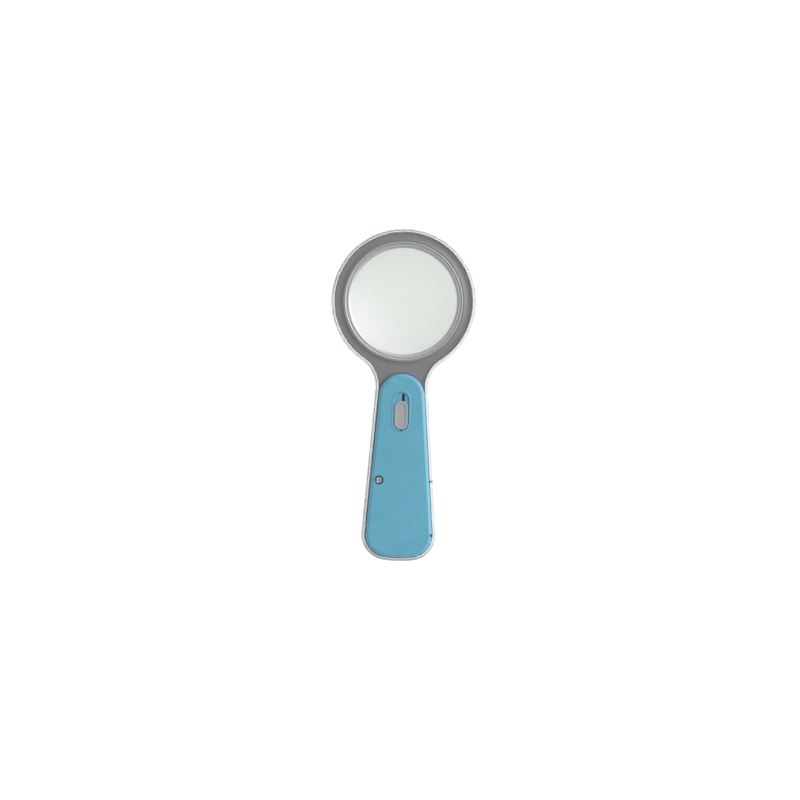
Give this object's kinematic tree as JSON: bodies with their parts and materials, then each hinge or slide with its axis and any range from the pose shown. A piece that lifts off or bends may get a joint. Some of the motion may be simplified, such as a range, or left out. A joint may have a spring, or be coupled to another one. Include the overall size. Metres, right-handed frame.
{
  "type": "low vision magnifier",
  "caption": "Hand-held low vision magnifier: round biconvex lens in a coved ring, clear tray, and a tapered battery handle with a slide switch for its LED light.",
  "frame": {"origin": "centre of the bounding box, on the flat back that it lies on", "axes": "+Z is the front face with the switch, +Y points from the handle to the lens, +X is to the right seen from the front"},
  "size_m": [0.074, 0.1702, 0.0167],
  "materials": {
    "clear_plastic": "polished clear",
    "grey_plastic": "satin moulded",
    "blue_plastic": "satin moulded",
    "lens_glass": "optical polish",
    "black_rubber": "matt",
    "bezel_plastic": "semi-gloss",
    "button_plastic": "satin",
    "black_plastic": "satin",
    "white_plastic": "satin",
    "led_plastic": "clear epoxy",
    "steel": "plated",
    "brass": "plain",
    "board_green": "solder mask",
    "cell_foil": "printed foil, plain",
    "red_wire": "insulation"
  },
  "bodies": {
    "housing": {"rear_shell": "clear_plastic", "front_frame": "grey_plastic", "lens": "lens_glass", "lens_gasket": "black_rubber", "lens_retainer": "bezel_plastic", "switch_base": "black_plastic", "switch_can": "steel", "switch_pin_1": "brass", "switch_pin_2": "brass", "switch_pin_3": "brass", "circuit_board": "board_green", "resistor": "black_plastic", "led": "led_plastic", "led_holder": "black_plastic", "led_lead_1": "steel", "led_lead_2": "steel", "battery_1": "cell_foil", "battery_2": "cell_foil", "battery_spring_1": "steel", "battery_spring_2": "steel", "contact_positive": "steel", "contact_negative": "steel", "contact_bridge": "steel", "wire_red": "red_wire", "wire_black": "black_plastic", "frame_screw_1": "steel", "frame_screw_2": "steel", "frame_screw_3": "steel"},
    "cover": {"handle_cover": "blue_plastic", "cover_screw": "steel"},
    "button": {"switch_button": "button_plastic", "switch_slider": "black_plastic"},
    "lever": {"switch_lever": "white_plastic"}
  },
  "joints": [
    {"name": "cover_lift", "type": "slide", "parent": "housing", "child": "cover", "axis": [0, 0, 1], "range_m": [0, 0.025]},
    {"name": "button_slide", "type": "slide", "parent": "cover", "child": "button", "axis": [0, 1, 0], "range_m": [0, 0.0045]},
    {"name": "lever_slide", "type": "slide", "parent": "housing", "child": "lever", "axis": [0, 1, 0], "range_m": [0, 0.0045]}
  ],
  "couplings": [
    {"joint": "lever_slide", "follows": "button_slide", "ratio": 1}
  ]
}
